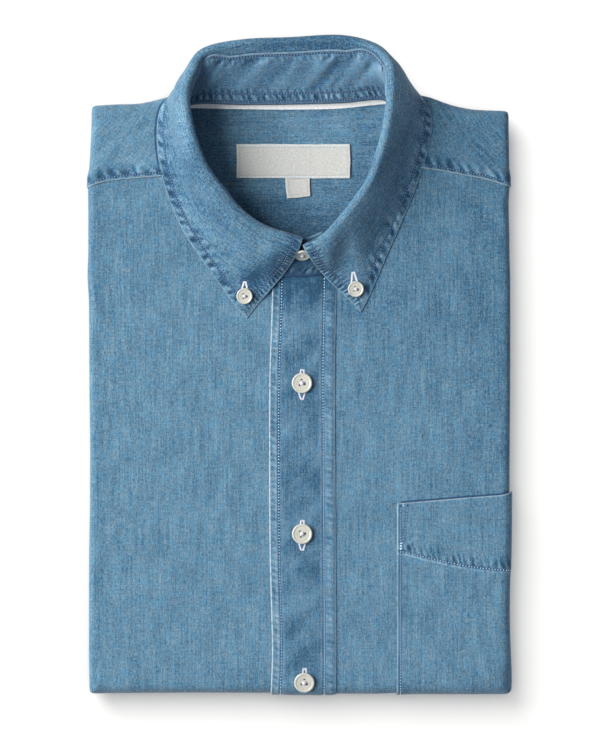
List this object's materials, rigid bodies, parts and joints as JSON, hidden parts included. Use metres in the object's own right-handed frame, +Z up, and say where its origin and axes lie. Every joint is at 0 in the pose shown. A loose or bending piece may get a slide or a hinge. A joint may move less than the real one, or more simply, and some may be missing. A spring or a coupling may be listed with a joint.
{
  "type": "folded denim shirt",
  "caption": "Denim shirt with a button-down collar and a chest pocket, buttoned and folded for a shelf, lying face up.",
  "frame": {"origin": "middle of the object's box, on the surface it lies on", "axes": "+Z up, out of the shirt's front; +Y towards the collar; +X towards the wearer's left side, where the chest pocket is"},
  "size_m": [0.254, 0.3949, 0.0487],
  "materials": {
    "denim": "washed mid-blue plain-weave denim, matte",
    "denim_inside": "the same denim inside the neck and in the folded layers, matte",
    "button": "ivory resin, satin gloss",
    "woven_white": "off-white woven tape and label, bare, matte"
  },
  "bodies": {
    "root": {"folded_layers": "denim_inside", "yoke_inner": "denim_inside", "front_right": "denim", "front_left": "denim", "yoke": "denim", "placket": "denim", "pocket": "denim", "collar_fall": "denim", "collar_stand": "denim", "neck_tape": "woven_white", "label": "woven_white", "size_tab": "woven_white", "button_front_1": "button", "button_front_2": "button", "button_front_3": "button", "button_stand": "button", "button_collar_right": "button", "button_collar_left": "button"}
  },
  "joints": []
}
